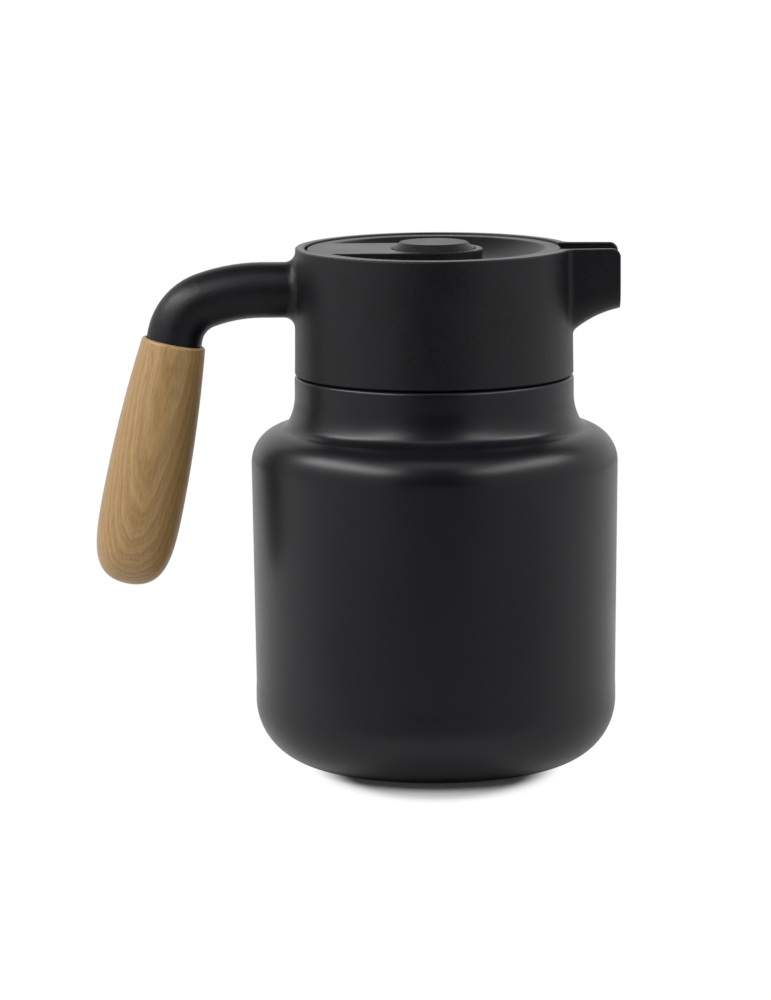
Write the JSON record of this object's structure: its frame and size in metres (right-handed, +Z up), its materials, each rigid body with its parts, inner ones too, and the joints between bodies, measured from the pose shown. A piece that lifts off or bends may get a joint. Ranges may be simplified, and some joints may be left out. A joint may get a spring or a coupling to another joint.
{
  "type": "insulated pitcher",
  "caption": "Vacuum flask pitcher with a snapped-on spout collar, wood grip, and a screw-out stopper with a sprung push-button pouring valve.",
  "frame": {"origin": "centre of the base, on the surface that the pitcher stands on, on the axis of the flask", "axes": "+Z up along the flask's axis, +X towards the tip of the spout, -X towards the handle"},
  "size_m": [0.189, 0.132, 0.1891],
  "materials": {
    "powder_coat": "matte black powder coat",
    "collar_plastic": "fine-textured black",
    "lid_plastic": "fine-textured black",
    "button_plastic": "satin black",
    "grip_wood": "pale oiled beech, satin",
    "flask_steel": "bare stainless steel",
    "foil": "bright foil",
    "fastener_steel": "plain steel",
    "spring_steel": "bright spring wire",
    "brass": "plain brass",
    "getter_metal": "grey alloy",
    "seal_glass": "solder glass",
    "pad_silicone": "matte black silicone",
    "seal_silicone": "translucent grey silicone",
    "inner_plastic": "plain moulded black",
    "foam": "rigid insulation foam"
  },
  "bodies": {
    "root": {"base_pad": "pad_silicone", "base_cup": "powder_coat", "outer_shell": "powder_coat", "inner_flask": "flask_steel", "radiation_foil": "foil", "getter_holder": "fastener_steel", "getter": "getter_metal", "vacuum_seal": "seal_glass", "collar_gasket": "seal_silicone", "collar": "collar_plastic", "grip": "grip_wood", "grip_stud": "fastener_steel", "grip_insert": "brass"},
    "seal_ring": {"stopper_seal": "seal_silicone"},
    "stopper": {"stopper_body": "inner_plastic", "throat_tube": "inner_plastic", "stopper_base": "inner_plastic", "stopper_foam": "foam", "valve_guide": "inner_plastic", "stem_seal": "seal_silicone", "button_spring": "spring_steel", "lid_cover": "lid_plastic"},
    "button": {"button": "button_plastic", "valve_stem": "inner_plastic", "valve_disc": "inner_plastic", "valve_seal": "seal_silicone", "retaining_clip": "fastener_steel"}
  },
  "joints": [
    {"name": "stopper_lift", "type": "slide", "parent": "root", "child": "seal_ring", "axis": [0, 0, 1], "range_m": [0, 0.048]},
    {"name": "stopper_turn", "type": "hinge", "parent": "seal_ring", "child": "stopper", "pos_m": [0, 0, 0.1588], "axis": [0, 0, 1], "range_deg": [0, 360]},
    {"name": "button_press", "type": "slide", "parent": "stopper", "child": "button", "axis": [0, 0, -1], "range_m": [0, 0.004], "stiffness_N_per_m": 400, "springref_m": -0.008, "deforming": ["button_spring"]}
  ],
  "couplings": [
    {"joint": "stopper_lift", "follows": "stopper_turn", "m_per_rad": 0.007639}
  ]
}
